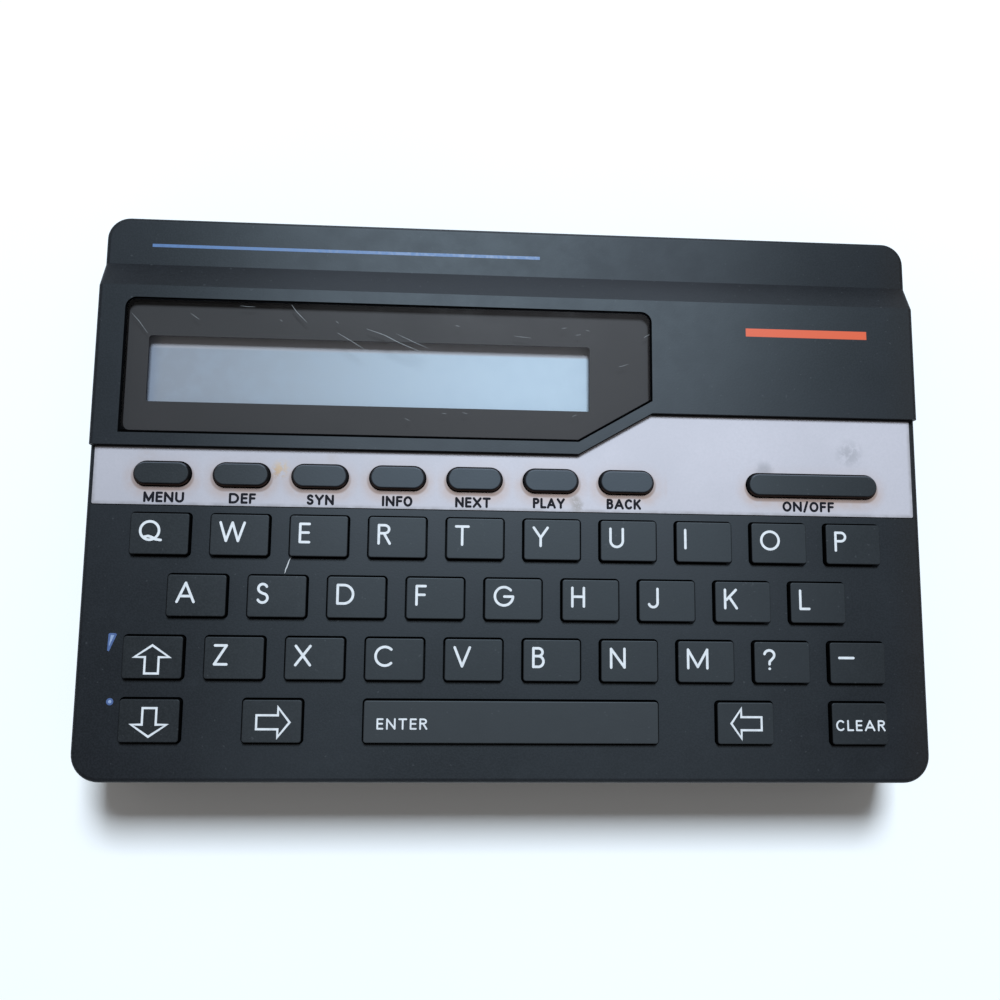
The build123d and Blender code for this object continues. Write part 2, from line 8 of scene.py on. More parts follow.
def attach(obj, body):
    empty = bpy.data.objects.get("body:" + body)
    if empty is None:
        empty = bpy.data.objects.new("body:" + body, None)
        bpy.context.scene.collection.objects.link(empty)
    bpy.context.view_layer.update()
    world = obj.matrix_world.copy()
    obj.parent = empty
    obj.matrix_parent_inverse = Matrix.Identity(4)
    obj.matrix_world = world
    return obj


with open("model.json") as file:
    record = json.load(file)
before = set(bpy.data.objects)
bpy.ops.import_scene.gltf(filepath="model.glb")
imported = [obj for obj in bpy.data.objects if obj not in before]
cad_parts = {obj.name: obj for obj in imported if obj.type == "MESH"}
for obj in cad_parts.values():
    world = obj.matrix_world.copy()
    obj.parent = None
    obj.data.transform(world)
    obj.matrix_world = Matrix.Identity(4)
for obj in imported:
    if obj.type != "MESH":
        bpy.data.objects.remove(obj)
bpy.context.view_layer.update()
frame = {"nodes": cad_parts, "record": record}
N = frame["nodes"]
MM = 0.001

# ------------------------------------------------------------------ materials


class G:
    """A material's node graph, with short helpers."""

    def __init__(self, name):
        self.m = bpy.data.materials.new(name)
        self.m.use_nodes = True
        self.t = self.m.node_tree
        self.b = self.t.nodes["Principled BSDF"]
        self.out = self.t.nodes["Material Output"]
        self.co = self.n("ShaderNodeTexCoord").outputs["Object"]
        s = self.n("ShaderNodeSeparateXYZ")
        self.l(self.co, s.inputs[0])
        self.x, self.y, self.z = s.outputs

    def n(self, kind, **kw):
        a = self.t.nodes.new(kind)
        for k, v in kw.items():
            setattr(a, k, v)
        return a

    def l(self, a, b):
        if isinstance(a, (int, float)):
            b.default_value = a
        elif isinstance(a, tuple):
            b.default_value = a + (1,) if len(a) == 3 else a
        else:
            self.t.links.new(a, b)

    def M(self, op, *args, clamp=False):
        a = self.n("ShaderNodeMath", operation=op, use_clamp=clamp)
        for i, v in enumerate(args):
            self.l(v, a.inputs[i])
        return a.outputs[0]

    def noise(self, scale, detail=3.0, rough=0.55, dist=0.0, stretch=None, vec=None):
        v = vec or self.co
        if stretch:
            mp = self.n("ShaderNodeMapping")
            self.l(v, mp.inputs[0])
            mp.inputs["Scale"].default_value = stretch[:3]
            if len(stretch) > 3:
                mp.inputs["Rotation"].default_value = (0, 0, stretch[3])
            v = mp.outputs[0]
        a = self.n("ShaderNodeTexNoise")
        self.l(v, a.inputs["Vector"])
        for k, q in (("Scale", scale), ("Detail", detail), ("Roughness", rough), ("Distortion", dist)):
            a.inputs[k].default_value = q
        return a.outputs[0]

    def step(self, v, a, b, lo=0.0, hi=1.0):
        """Smooth ramp from lo at a to hi at b."""
        r = self.n("ShaderNodeMapRange", interpolation_type="SMOOTHSTEP")
        self.l(v, r.inputs[0])
        if a > b:
            a, b, lo, hi = b, a, hi, lo
        for i, q in enumerate((a, b, lo, hi)):
            r.inputs[i + 1].default_value = q
        return r.outputs[0]

    def mix(self, f, a, b, blend="MIX"):
        x = self.n("ShaderNodeMix", data_type="RGBA", blend_type=blend)
        self.l(f, x.inputs[0])
        self.l(a, x.inputs[6])
        self.l(b, x.inputs[7])
        return x.outputs[2]

    def bump(self, pairs):
        prev = None
        for h, strength, dist in pairs:
            b = self.n("ShaderNodeBump")
            b.inputs["Strength"].default_value = strength
            b.inputs["Distance"].default_value = dist
            self.l(h, b.inputs["Height"])
            if prev is not None:
                self.l(prev, b.inputs["Normal"])
            prev = b.outputs[0]
        self.l(prev, self.b.inputs["Normal"])

    def set(self, **kw):
        for k, v in kw.items():
            self.l(v, self.b.inputs[k.replace("_", " ")])
        return self


def plastic(name, base, lift, rough=0.50, key=False):
    """Black moulded plastic with a fine spark texture, dust and faint scuffs, plus painted sheen, highlights and
    shade.
    """
    g = G(name)
    big = g.noise(38, 3)
    mid = g.noise(260, 4, 0.6)
    fine = g.noise(3600, 2, 0.6)
    c = g.mix(g.step(big, 0.35, 0.68), base, lift)
    c = g.mix(g.step(mid, 0.55, 0.8, 0, 0.35), c, tuple(v * 1.5 for v in lift))
    # warmer, browner tone along the right edge
    c = g.mix(g.step(g.x, 0.0625, 0.0693, 0, 0.6), c, (0.0135, 0.0105, 0.0090))
    # painted sheen: cooler and paler in the middle of the upper face, where the overhead light reflects
    sheen_and_haze = g.M("MULTIPLY", g.M("MULTIPLY", g.step(g.x, -0.058, -0.020), g.step(g.x, 0.058, 0.020)), g.step(g.y, -0.034, 0.004))
    c = g.mix(g.M("MULTIPLY", sheen_and_haze, 0.85), c, (0.0260, 0.0262, 0.0305))
    c = g.mix(g.step(fine, 0.40, 0.62, 0, 0.30), c, tuple(v * 2.0 for v in lift))
    # falls off towards both ends of the case
    ends = g.M("MULTIPLY", g.step(g.x, -0.069, -0.025, 0.50, 1.0), g.step(g.x, 0.069, 0.028, 0.55, 1.0))
    shelf = g.M("MULTIPLY", g.step(g.y, 0.0345, 0.0385), g.step(g.x, -0.010, 0.030, 0.25, 1.0))
    ends = g.M("MULTIPLY", ends, g.M("SUBTRACT", 1.0, g.M("MULTIPLY", shelf, 0.42)))
    if key:
        # painted sheen: keys in the middle of the case are made paler and bluer, where the overhead light reflects
        mid_keys_sheen = g.M("MULTIPLY", g.step(g.x, -0.045, -0.010), g.step(g.x, 0.068, 0.050))
        c = g.mix(g.M("MULTIPLY", mid_keys_sheen, 0.6), c, (0.0190, 0.0212, 0.0242))
        # painted highlight: the long bar and the small round-ended keys are made paler and bluer, for the light
        # reflecting off their worn, glossier tops
        ax = g.M("ABSOLUTE", g.x)
        bar = g.M("MULTIPLY", g.step(g.y, -0.0332, -0.0335), g.step(ax, 0.0242, 0.0238))
        c = g.mix(g.M("MULTIPLY", bar, 0.8), c, (0.0275, 0.0295, 0.0325))
        small = g.M("MULTIPLY", g.step(g.y, 0.0, 0.0002), g.M("MULTIPLY", g.step(g.x, -0.052, -0.004), g.step(g.x, 0.046, 0.026)))
        c = g.mix(g.M("MULTIPLY", small, 0.62), c, (0.034, 0.040, 0.052))
        # painted shade: the side walls down in the gaps are darkened
        side_wall_shade = g.M("ADD", g.M("MULTIPLY", g.step(g.y, -0.001, 0.0), g.step(g.z, 0.01912, 0.01900)),
                   g.M("MULTIPLY", g.step(g.y, 0.0, -0.001), g.step(g.z, 0.01894, 0.01884)))
        c = g.mix(g.M("MULTIPLY", side_wall_shade, 0.9, clamp=True), c, (0.0022, 0.0022, 0.0025))
        # painted highlight: a pale rim along the rear top edge of the small keys, where the light from behind catches
        # it; and a brownish line along the front of the small keys
        rim = g.M("MULTIPLY", g.M("MULTIPLY", g.step(g.z, 0.01885, 0.01900), g.step(g.z, 0.019197, 0.01917)), g.step(g.y, 0.0033, 0.0038))
        c = g.mix(g.M("MULTIPLY", rim, 0.75), c, (0.11, 0.125, 0.15))
        # a brownish line along the front side walls of the small keys
        front_brown_line = g.M("MULTIPLY", g.M("MULTIPLY", g.step(g.z, 0.01856, 0.01866), g.step(g.z, 0.01895, 0.01882)),
                    g.M("MULTIPLY", g.step(g.y, 0.0016, 0.0010), g.step(g.y, -0.001, 0.0)))
        c = g.mix(g.M("MULTIPLY", front_brown_line, 0.65), c, (0.085, 0.048, 0.036))
    # dust specks
    dust = g.step(g.noise(1500, 1, 0.4), 0.735, 0.80, 0, 0.35)
    c = g.mix(dust, c, (0.06, 0.064, 0.07))
    # printed colour bar on the display deck
    bar = g.M("MULTIPLY", g.M("MULTIPLY", g.step(g.x, 0.03955, 0.03965), g.step(g.x, 0.06085, 0.06075)),
              g.M("MULTIPLY", g.M("MULTIPLY", g.step(g.y, 0.02795, 0.02803), g.step(g.y, 0.02945, 0.02937)), g.step(g.z, 0.0188, 0.0189)))
    c = g.mix(bar, c, (0.66, 0.105, 0.04))
    g.l(c, g.b.inputs["Base Color"])
    r = g.M("ADD", g.step(mid, 0.3, 0.75, rough - 0.01, rough + 0.03), g.step(big, 0.3, 0.7, -0.01, 0.015))
    g.l(r, g.b.inputs["Roughness"])
    if key:
        g.l(g.M("MULTIPLY", ends, g.M("SUBTRACT", 0.42, g.M("MULTIPLY", side_wall_shade, 0.34, clamp=True))), g.b.inputs["Specular IOR Level"])
    else:
        g.l(g.M("MULTIPLY", ends, 0.39), g.b.inputs["Specular IOR Level"])
    g.b.inputs["Specular Tint"].default_value = (0.78, 0.92, 1.0, 1)
    g.bump([(mid, 0.04, 0.0002), (fine, 0.22 if not key else 0.16, 0.00004)])
    return g.m


black = plastic("case_black", (0.0078, 0.0082, 0.0100), (0.0112, 0.0120, 0.0145))
black_key = plastic("key_black", (0.0100, 0.0107, 0.0120), (0.0140, 0.0150, 0.0168), 0.48, True)
black_cover = plastic("cover_black", (0.0078, 0.0082, 0.0100), (0.0112, 0.0120, 0.0145))

# silver strip: satin grey print, a brownish blotchy tint round the function keys and painted shadow close round them
g = G("strip_silver")
px = g.M("SUBTRACT", g.M("PINGPONG", g.M("ADD", g.x, 0.05715 + 0.0002 + 0.0127), 0.0127 / 2), 0.0)
# pingpong is 0 over each key centre and 6.35 mm between two keys
gx = g.M("MAXIMUM", g.M("SUBTRACT", px, 0.0027), 0.0)
gx = g.M("ADD", gx, g.step(g.x, 0.0255, 0.0285, 0, 0.02))
ox = g.M("MAXIMUM", g.M("SUBTRACT", g.M("ABSOLUTE", g.M("SUBTRACT", g.x, 0.0506)), 0.0092), 0.0)
dxm = g.M("MINIMUM", gx, ox)
dy = g.M("SUBTRACT", g.y, 0.0020)
dist = g.M("MAXIMUM", g.M("MULTIPLY", g.M("SUBTRACT", -0.0632, g.x), 3.0), g.M("SUBTRACT", g.M("SQRT", g.M("ADD", g.M("MULTIPLY", dxm, dxm), g.M("MULTIPLY", dy, dy))), 0.0020))
blot = g.noise(330, 4, 0.65)
below = g.step(g.y, 0.0052, -0.0006, 0.25, 1.0)
halo = g.M("MULTIPLY", g.M("MULTIPLY", g.step(dist, 0.0025, 0.0001), g.step(blot, 0.28, 0.62, 0.35, 1.0)), below, clamp=True)
rim = g.M("MULTIPLY", g.step(dist, 0.00055, 0.00015), below)
c = g.mix(g.step(g.noise(55, 3), 0.3, 0.7), (0.475, 0.456, 0.50), (0.52, 0.498, 0.545))
c = g.mix(g.step(g.noise(2400, 2, 0.7), 0.35, 0.7, 0, 0.22), c, (0.42, 0.415, 0.45))
# a brownish, blotchy tint round the function keys, heavier in front of them
c = g.mix(g.M("MULTIPLY", halo, 0.62), c, (0.47, 0.33, 0.27))
# painted shadow with a brown tint: a dark ring hugging each function key, heavier in front of it
c = g.mix(g.M("MULTIPLY", rim, 0.75), c, (0.20, 0.105, 0.06))
# dark smudges and rubbed dirt along the edges
ex = g.M("MINIMUM", g.M("SUBTRACT", 0.0681, g.x), g.M("ADD", g.x, 0.0684))
edge = g.M("MINIMUM", ex, g.M("ADD", g.y, 0.0027))
c = g.mix(g.M("MULTIPLY", g.step(edge, 0.0007, 0.0), g.step(blot, 0.3, 0.7, 0.15, 0.7)), c, (0.22, 0.20, 0.20))
# less light towards the left end
c = g.mix(g.step(g.x, 0.010, -0.058, 0.10, 0.27), c, (0.12, 0.125, 0.15))
# painted shade: a dark line where the strip runs under the step of the case
back_l = g.M("MULTIPLY", g.step(g.y, 0.00655, 0.00672), g.step(g.x, 0.0115, 0.0105))
back_r = g.M("MULTIPLY", g.step(g.y, 0.01378, 0.01395), g.step(g.x, 0.0227, 0.0235))
c = g.mix(g.M("ADD", back_l, back_r, clamp=True), c, (0.02, 0.02, 0.024))


def spot(g, x, y, r, amount):
    d = g.n("ShaderNodeVectorMath", operation="DISTANCE")
    g.l(g.co, d.inputs[0])
    d.inputs[1].default_value = (x, y, 0.0182)
    f = g.M("MULTIPLY", g.step(d.outputs["Value"], r, r * 0.15), g.step(g.noise(700, 4, 0.7), 0.36, 0.54))
    return g.M("MULTIPLY", f, amount, clamp=True)


for sx, sy, sr, sa, col in (
    (0.0102, -0.0007, 0.0013, 0.95, (0.30, 0.27, 0.26)),
    (0.0107, -0.0018, 0.0013, 0.95, (0.28, 0.25, 0.24)),
    (-0.0388, 0.0030, 0.0017, 0.95, (0.34, 0.23, 0.16)),
    (0.0574, 0.0080, 0.0032, 0.45, (0.22, 0.22, 0.24)),
    (0.0425, 0.0049, 0.0022, 0.5, (0.20, 0.20, 0.22)),
    (-0.0383, 0.0036, 0.0020, 0.7, (0.50, 0.36, 0.22)),
    (0.0108, -0.0022, 0.0020, 0.5, (0.30, 0.28, 0.28)),
    (-0.0300, 0.0056, 0.0016, 0.3, (0.35, 0.30, 0.28)),
    (-0.0600, 0.0054, 0.0022, 0.25, (0.36, 0.30, 0.28)),
):
    c = g.mix(spot(g, sx, sy, sr, sa), c, col)
g.l(c, g.b.inputs["Base Color"])
g.set(Roughness=0.5)
g.b.inputs["Metallic"].default_value = 0.12
g.bump([(g.noise(2600, 2), 0.12, 0.00003)])
silver = g.m

# window: clear lightly smoked acrylic. Light passes straight through it.
g = G("window_clear")
tr = g.n("ShaderNodeBsdfTransparent")
tr.inputs[0].default_value = (0.93, 0.935, 0.94, 1)
gl = g.n("ShaderNodeBsdfGlossy")
gl.inputs["Color"].default_value = (1, 1, 1, 1)
hz = g.noise(120, 4, 0.6)
g.l(g.step(hz, 0.3, 0.75, 0.05, 0.09), gl.inputs["Roughness"])
fr = g.n("ShaderNodeFresnel")
fr.inputs["IOR"].default_value = 1.45
# only the outward side of each face reflects, so nothing is trapped inside the plate
front = g.M("SUBTRACT", 1.0, g.n("ShaderNodeNewGeometry").outputs["Backfacing"])
df = g.n("ShaderNodeBsdfDiffuse")
df.inputs[0].default_value = (0.50, 0.455, 0.475, 1)
m1 = g.n("ShaderNodeMixShader")
# diffuse haze in the acrylic, more of it towards the right
sheen_and_haze = g.M("ADD", g.step(hz, 0.35, 0.8, 0.002, 0.006), g.step(g.x, -0.045, 0.010, 0, 0.017))
g.l(g.M("MULTIPLY", sheen_and_haze, front), m1.inputs[0])
g.l(tr.outputs[0], m1.inputs[1])
g.l(df.outputs[0], m1.inputs[2])
m2 = g.n("ShaderNodeMixShader")
g.l(g.M("MULTIPLY", fr.outputs[0], g.M("MULTIPLY", front, g.step(g.x, -0.066, -0.015, 0.35, 0.9))), m2.inputs[0])
g.l(m1.outputs[0], m2.inputs[1])
g.l(gl.outputs[0], m2.inputs[2])
# painted shade: a dark line round the rim, where the plate drops into its recess
WX, WY, WHX, WHY, WR = -0.0207, 0.020375, 0.0440, 0.011425, 0.0019
qx = g.M("SUBTRACT", g.M("ABSOLUTE", g.M("SUBTRACT", g.x, WX)), WHX - WR)
qy = g.M("SUBTRACT", g.M("ABSOLUTE", g.M("SUBTRACT", g.y, WY)), WHY - WR)
ax, ay = g.M("MAXIMUM", qx, 0.0), g.M("MAXIMUM", qy, 0.0)
sd = g.M("SUBTRACT", g.M("ADD", g.M("SQRT", g.M("ADD", g.M("MULTIPLY", ax, ax), g.M("MULTIPLY", ay, ay))),
                         g.M("MINIMUM", g.M("MAXIMUM", qx, qy), 0.0)), WR)
sc = g.M("SUBTRACT", g.M("MULTIPLY", g.M("SUBTRACT", g.x, 0.01075), 0.5028), g.M("MULTIPLY", g.M("SUBTRACT", g.y, 0.00895), 0.8643))
rimline = g.step(g.M("MAXIMUM", sd, sc), -0.00044, -0.00034)
dk = g.n("ShaderNodeBsdfDiffuse")
dk.inputs[0].default_value = (0.003, 0.003, 0.0035, 1)
m3 = g.n("ShaderNodeMixShader")
g.l(rimline, m3.inputs[0])
g.l(m2.outputs[0], m3.inputs[1])
g.l(dk.outputs[0], m3.inputs[2])
g.l(m3.outputs[0], g.out.inputs[0])
g.t.nodes.remove(g.b)
window = g.m

g = G("mask_black")
c = g.mix(g.step(g.noise(40, 3), 0.3, 0.7), (0.0080, 0.0060, 0.0065), (0.0120, 0.0092, 0.0100))
g.l(c, g.b.inputs["Base Color"])
g.set(Roughness=0.6)
mask = g.m

# display: blank reflective panel, a little darker to the left, with painted shadow along its back and left borders
# where the mask above shades it
g = G("lcd_grey")
sh = g.step(g.x, -0.062, 0.008)
c = g.mix(sh, (0.285, 0.305, 0.345), (0.56, 0.68, 0.78))
c = g.mix(g.step(g.noise(420, 3), 0.35, 0.75, 0, 0.14), c, (0.40, 0.50, 0.62))
# painted shadow of the mask's rear edge: a greyer band along the back
c = g.mix(g.step(g.y, 0.02395, 0.02445), c, (0.50, 0.49, 0.52))
# painted shadow along the left border
c = g.mix(g.step(g.x, -0.0590, -0.0612, 0, 0.55), c, (0.20, 0.24, 0.33))
g.l(c, g.b.inputs["Base Color"])
g.set(Roughness=0.55)
lcd = g.m


def simple(name, c0, c1, rough, metal=0.0, scale=200.0, bump=0.1):
    g = G(name)
    n1 = g.noise(scale, 3)
    g.l(g.mix(g.step(n1, 0.3, 0.7), c0, c1), g.b.inputs["Base Color"])
    g.l(g.step(n1, 0.3, 0.7, rough - 0.05, rough + 0.06), g.b.inputs["Roughness"])
    g.b.inputs["Metallic"].default_value = metal
    g.bump([(g.noise(1800, 2), bump, 0.00004)])
    return g.m


steel = simple("screw_steel", (0.42, 0.42, 0.41), (0.52, 0.52, 0.51), 0.34, 1.0, 900)
spring = simple("spring_steel", (0.58, 0.57, 0.54), (0.66, 0.65, 0.62), 0.26, 1.0, 700)
silicone = simple("silicone_grey", (0.36, 0.36, 0.37), (0.42, 0.42, 0.43), 0.6)
pcb = simple("pcb_green", (0.02, 0.11, 0.05), (0.03, 0.15, 0.07), 0.4)
chip = simple("chip_black", (0.02, 0.02, 0.02), (0.03, 0.03, 0.03), 0.5)
rubber = simple("foot_rubber", (0.018, 0.018, 0.018), (0.03, 0.03, 0.03), 0.78, 0, 400, 0.4)

# cells: plain dark sleeve, bare steel at the two ends
g = G("cell_jacket")
c = g.mix(g.step(g.noise(160, 3), 0.3, 0.7), (0.05, 0.055, 0.07), (0.07, 0.075, 0.09))
g.l(c, g.b.inputs["Base Color"])
g.set(Roughness=0.35)
cell = g.m

MATS = {
    "case_black": black, "key_black": black_key, "strip_silver": silver, "window_clear": window,
    "mask_black": mask, "lcd_grey": lcd, "silicone_grey": silicone, "pcb_green": pcb, "chip_black": chip,
    "screw_steel": steel, "cell_jacket": cell, "spring_steel": spring, "foot_rubber": rubber,
}
for s in frame["record"]["subparts"]:
    o = N[s["node"]]
    o.data.materials.clear()
    o.data.materials.append(black_cover if s["node"] == "battery_cover" else MATS[s["material_slot"]])

white = simple("legend_white", (0.60, 0.62, 0.645), (0.69, 0.71, 0.735), 0.5, 0, 1500, 0.1)
ink = simple("legend_ink", (0.005, 0.005, 0.009), (0.009, 0.009, 0.014), 0.5, 0, 2200, 0.1)
ink.node_tree.nodes["Principled BSDF"].inputs["Specular IOR Level"].default_value = 0.08
blue = simple("mark_blue", (0.045, 0.085, 0.22), (0.065, 0.12, 0.28), 0.5, 0, 1500, 0.1)
pale = simple("mark_pale", (0.20, 0.28, 0.45), (0.27, 0.35, 0.52), 0.5, 0, 1500, 0.1)
rule_blue = simple("rule_blue", (0.032, 0.10, 0.25), (0.045, 0.13, 0.31), 0.45, 0, 1500, 0.1)
scratch = simple("scratch_white", (0.42, 0.43, 0.44), (0.62, 0.63, 0.64), 0.5, 0, 3000, 0.1)
scratch_dim = simple("scratch_dim", (0.15, 0.16, 0.165), (0.26, 0.27, 0.28), 0.5, 0, 3000, 0.1)

# ------------------------------------------------------------------- lettering
# Each glyph is a list of strokes in units of the capital height, drawn with a round-ended pen.


def arc(cx, cy, rx, ry, a0, a1, n=22):
    return [(cx + rx * math.cos(math.radians(a0 + (a1 - a0) * i / n)), cy + ry * math.sin(math.radians(a0 + (a1 - a0) * i / n))) for i in range(n + 1)]


H = 0.075   # half pen width
K = 1 - H
O_RING = arc(0.5, 0.5, 0.5 - H, 0.5 - H, 0, 360, 48)[:-1]
GLYPH = {
    "A": (0.90, [[(0.07, H * 0.4), (0.45, K + 0.02), (0.83, H * 0.4)], [(0.21, 0.33), (0.69, 0.33)]]),
    "B": (0.62, [[(H, 0.02), (H, 0.98)], [(H, K), (0.30, K)] + arc(0.30, 0.745, 0.2, 0.18, 88, -90) + [(H, 0.565)], [(0.12, 0.565)] + arc(0.31, 0.32, 0.235, 0.245, 90, -90) + [(H, H)]]),
    "C": (0.93, [arc(0.5, 0.5, 0.5 - H, 0.5 - H, 47, 313, 34)]),
    "D": (0.86, [("ring", [(H, H), (H, K)] + arc(0.36, 0.5, 0.425, 0.425, 90, -90, 26))]),
    "E": (0.54, [[(0.50, K), (H, K), (H, H), (0.50, H)], [(H, 0.52), (0.47, 0.52)]]),
    "F": (0.52, [[(0.48, K), (H, K), (H, 0.02)], [(H, 0.52), (0.44, 0.52)]]),
    "G": (0.98, [arc(0.5, 0.5, 0.5 - H, 0.5 - H, 42, 358, 40) + [(0.52, 0.485)]]),
    "H": (0.70, [[(H, 0.02), (H, 0.98)], [(0.62, 0.02), (0.62, 0.98)], [(H, 0.52), (0.62, 0.52)]]),
    "I": (0.15, [[(H, 0.02), (H, 0.98)]]),
    "J": (0.56, [[(0.48, 0.98), (0.48, 0.28)] + arc(0.27, 0.28, 0.21, 0.205, 0, -160, 18)]),
    "K": (0.68, [[(H, 0.02), (H, 0.98)], [(0.60, 0.96), (0.14, 0.46)], [(0.27, 0.60), (0.63, 0.04)]]),
    "L": (0.52, [[(H, 0.98), (H, H), (0.50, H)]]),
    "M": (1.06, [[(H, 0.02), (H, K), (0.53, 0.13), (0.985, K), (0.985, 0.02)]]),
    "N": (0.78, [[(H, 0.02), (H, K), (0.705, H), (0.705, 0.98)]]),
    "O": (1.0, [("ring", O_RING)]),
    "P": (0.62, [[(H, 0.02), (H, 0.98)], [(H, K)] + arc(0.33, 0.72, 0.22, 0.205, 90, -90) + [(H, 0.515)]]),
    "Q": (1.06, [("ring", O_RING), [(0.26, 0.205), (0.44, 0.245), (0.60, 0.20), (0.78, 0.10), (1.02, 0.055)]]),
    "R": (0.66, [[(H, 0.02), (H, 0.98)], [(H, K)] + arc(0.33, 0.735, 0.22, 0.19, 90, -90) + [(H, 0.545)], [(0.32, 0.53), (0.59, 0.04)]]),
    "S": (0.58, [arc(0.295, 0.725, 0.20, 0.20, 25, 235, 20) + [(0.30, 0.50)] + arc(0.295, 0.285, 0.225, 0.21, 62, -155, 22)]),
    "T": (0.66, [[(0.04, K), (0.62, K)], [(0.33, K), (0.33, 0.02)]]),
    "U": (0.74, [[(H, 0.98), (H, 0.37)] + arc(0.37, 0.37, 0.295, 0.295, 180, 360) + [(0.665, 0.98)]]),
    "V": (0.82, [[(0.06, 0.97), (0.41, 0.07), (0.76, 0.97)]]),
    "W": (1.22, [[(0.06, 0.97), (0.335, 0.08), (0.61, 0.93), (0.885, 0.08), (1.16, 0.97)]]),
    "X": (0.82, [[(0.08, 0.96), (0.74, 0.04)], [(0.74, 0.96), (0.08, 0.04)]]),
    "Y": (0.78, [[(0.06, 0.97), (0.39, 0.46), (0.72, 0.97)], [(0.39, 0.46), (0.39, 0.03)]]),
    "Z": (0.66, [[(0.08, K), (0.60, K), (0.07, H), (0.62, H)]]),
    "?": (0.64, [arc(0.32, 0.71, 0.235, 0.215, 168, -48, 22) + [(0.33, 0.40), (0.32, 0.28)], [(0.315, 0.068), (0.325, 0.068)]]),
    "-": (0.82, [[(0.10, 0.60), (0.78, 0.60)]]),
    "/": (0.42, [[(0.05, 0.0), (0.37, 1.0)]]),
}


def ribbon(V, F, pts, w, z0, z1, closed=False, taper=False):
    """Adds a closed slab of width w along pts, mitred at its corners, square at its ends."""
    n = len(pts)
    L, R = [], []
    for i in range(n):
        p = Vector(pts[i])
        a = Vector(pts[i - 1]) if (i or closed) else None
        b = Vector(pts[(i + 1) % n]) if (i < n - 1 or closed) else None
        da = (p - a).normalized() if a is not None else None
        db = (b - p).normalized() if b is not None else None
        da = db if da is None else da
        db = da if db is None else db
        t = (da + db).normalized()
        nn = Vector((-t.y, t.x))
        h = w / 2 / max(0.42, abs(nn.dot(Vector((-da.y, da.x)))))
        if taper:
            h *= 0.25 + 0.75 * math.sin(math.pi * (i + 0.35) / (n - 0.3))
        L.append(p + nn * h)
        R.append(p - nn * h)
    base = len(V)
    for z in (z0, z1):
        V.extend((q.x, q.y, z) for q in L + R)
    m = 2 * n
    for i in range(n if closed else n - 1):
        j = (i + 1) % n
        F.append((base + m + j, base + m + i, base + m + n + i, base + m + n + j))
        F.append((base + i, base + j, base + n + j, base + n + i))
        F.append((base + i, base + m + i, base + m + j, base + j))
        F.append((base + n + j, base + m + n + j, base + m + n + i, base + n + i))
    if not closed:
        e = n - 1
        F.append((base, base + n, base + m + n, base + m))
        F.append((base + e, base + m + e, base + m + n + e, base + n + e))


def outline(pts, r, n=8):
    """Outline of one round-ended pen stroke along a gently bending path."""
    P = [Vector(p) for p in pts]
    D = [(b - a).normalized() for a, b in zip(P, P[1:])]
    L, R = [], []
    for i, p in enumerate(P):
        a, b = D[max(i - 1, 0)], D[min(i, len(D) - 1)]
        t = (a + b).normalized()
        nn = Vector((-t.y, t.x))
        h = r / max(0.8, nn.dot(Vector((-a.y, a.x))))
        L.append(p + nn * h)
        R.append(p - nn * h)

    def cap(c, d):
        a0 = math.atan2(d.y, d.x) - math.pi / 2
        return [c + Vector((math.cos(a0 + k * math.pi / n), math.sin(a0 + k * math.pi / n))) * r for k in range(1, n)]

    return R + cap(P[-1], D[-1]) + L[::-1] + cap(P[0], -D[0])


def pieces(pts):
    """Splits a path at its sharp corners and wherever it has turned a long way round."""
    pts = [p for i, p in enumerate(pts) if not i or (Vector(p) - Vector(pts[i - 1])).length > 0.004]
    out, cur, turned = [], [pts[0]], 0.0
    for i in range(1, len(pts)):
        cur.append(pts[i])
        if i == len(pts) - 1:
            break
        u, v = Vector(pts[i]) - Vector(pts[i - 1]), Vector(pts[i + 1]) - Vector(pts[i])
        ang = abs(u.angle_signed(v))
        turned += ang
        if ang > 0.6 or turned > 2.4:
            out.append(cur)
            cur, turned = [pts[i]], 0.0
    return out + [cur]


def fuse(V, F, loops, z0, z1):
    """One flat plate from overlapping outlines: their union, without inner edges."""
    vs, fs = [], []
    for lp in loops:
        fs.append(list(range(len(vs), len(vs) + len(lp))))
        vs.extend(lp)
    co, _, faces, _, _, src = delaunay_2d_cdt(vs, [], fs, 1, 1e-5)
    base, n = len(V), len(co)
    for z in (z0, z1):
        V.extend((q.x, q.y, z) for q in co)
    rim = set()
    for f, o in zip(faces, src):
        if not o:
            continue
        f = list(f)
        a, b, c = (co[k] for k in f[:3])
        if (b.x - a.x) * (c.y - a.y) - (b.y - a.y) * (c.x - a.x) < 0:
            f.reverse()
        F.append(tuple(base + n + k for k in f))
        F.append(tuple(base + k for k in reversed(f)))
        rim.update(zip(f, f[1:] + f[:1]))
    for a, b in sorted(rim):
        if (b, a) not in rim:
            F.append((base + a, base + b, base + n + b, base + n + a))


def mesh(name, V, F, mat, body):
    me = bpy.data.meshes.new(name)
    me.from_pydata([tuple(c * MM for c in v) for v in V], [], F)
    me.validate()
    me.update()
    ob = bpy.data.objects.new(name, me)
    bpy.context.scene.collection.objects.link(ob)
    me.materials.append(mat)
    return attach(ob, body)


SMALL = {"O": 0.84, "C": 0.86, "M": 0.92, "/": 1.0}   # narrower round letters for the small labels


